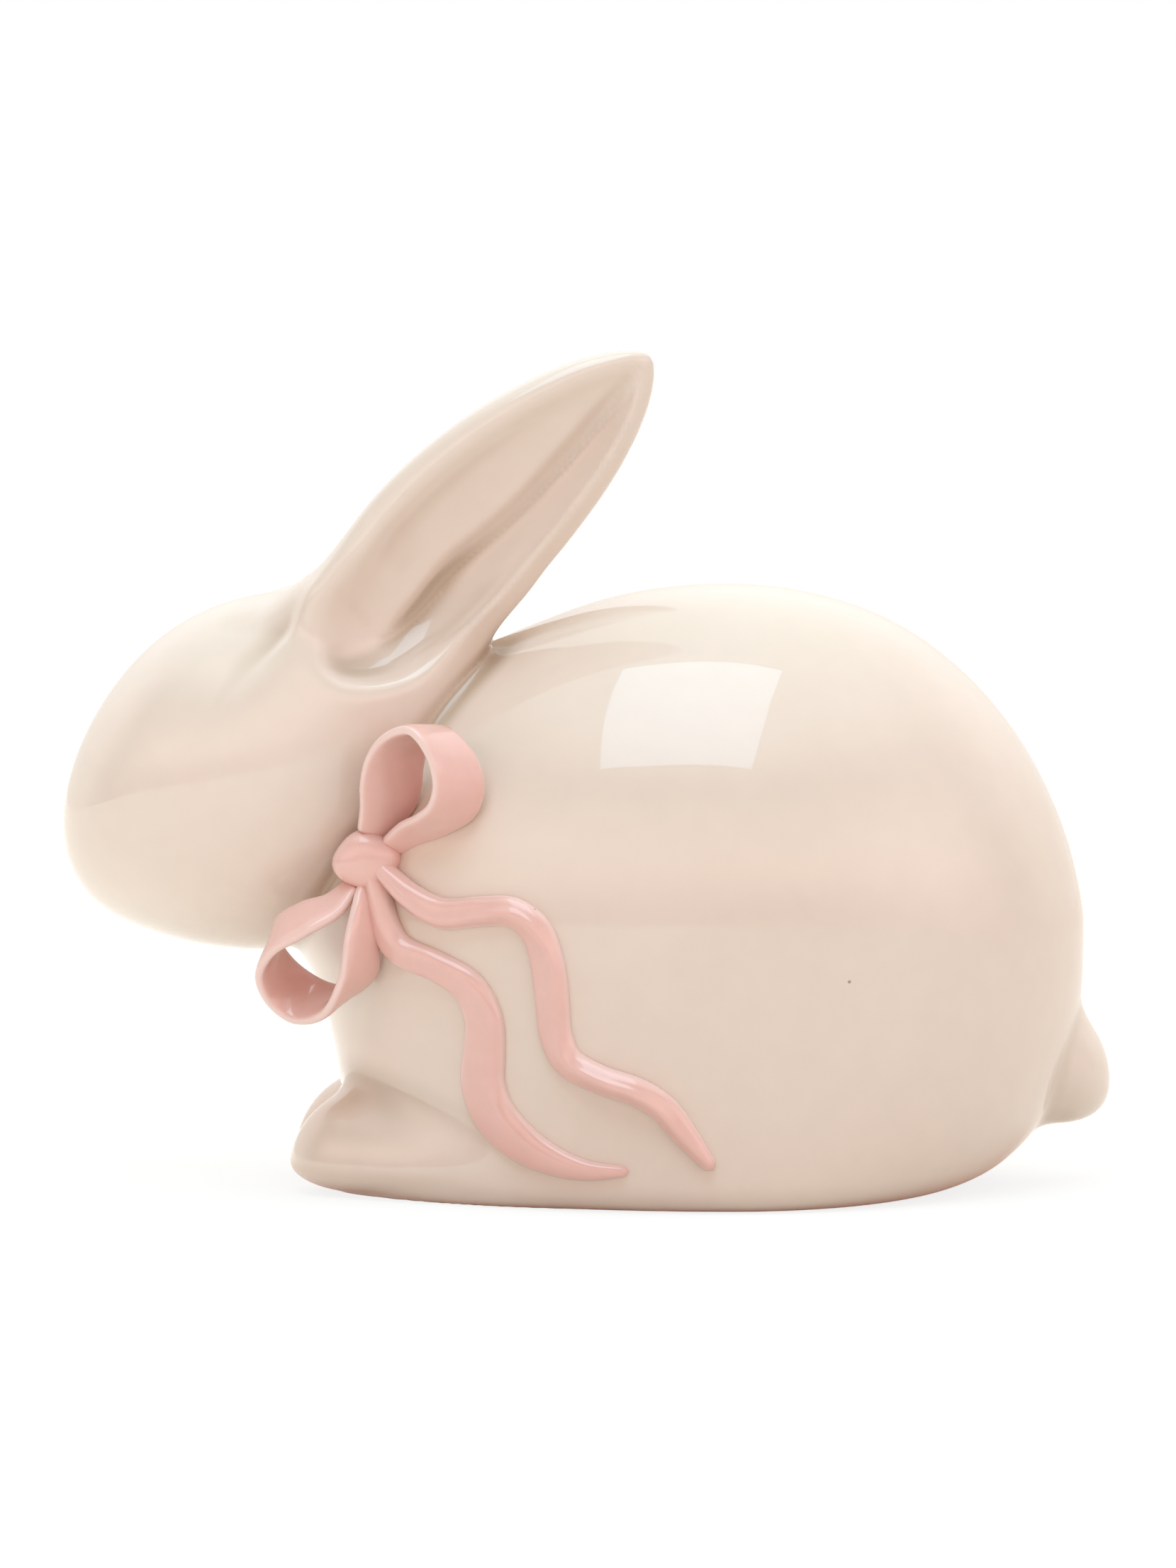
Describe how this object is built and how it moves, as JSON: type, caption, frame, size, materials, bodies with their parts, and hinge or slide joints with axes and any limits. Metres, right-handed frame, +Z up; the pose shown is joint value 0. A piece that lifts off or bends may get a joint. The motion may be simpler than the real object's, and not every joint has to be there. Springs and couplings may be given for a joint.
{
  "type": "easter bunny ornament",
  "caption": "Crouching rabbit ornament in clear-glazed cream ceramic, hollow cast, with dished leaf-shaped ears and a pink clay bow on the side of its neck.",
  "frame": {"origin": "on the table, under the middle of the whole ornament", "axes": "+X towards the tail, the rabbit looks along -X; +Y towards its right flank, the bow is on the left flank at -Y; +Z up"},
  "size_m": [0.1803, 0.0955, 0.1431],
  "materials": {
    "cream_glazed_ceramic": "warm cream earthenware body under a clear glossy glaze with a few fine pinholes",
    "pink_glazed_ceramic": "pink stained clay under the same clear glossy glaze, paler where the glaze thins along the edges"
  },
  "bodies": {
    "root": {"torso_casting": "cream_glazed_ceramic", "head_casting": "cream_glazed_ceramic", "left_ear": "cream_glazed_ceramic", "right_ear": "cream_glazed_ceramic", "left_forepaw": "cream_glazed_ceramic", "right_forepaw": "cream_glazed_ceramic", "tail": "cream_glazed_ceramic", "bow_knot": "pink_glazed_ceramic", "bow_upper_loop": "pink_glazed_ceramic", "bow_lower_loop": "pink_glazed_ceramic", "front_ribbon_tail": "pink_glazed_ceramic", "rear_ribbon_tail": "pink_glazed_ceramic"}
  },
  "joints": []
}
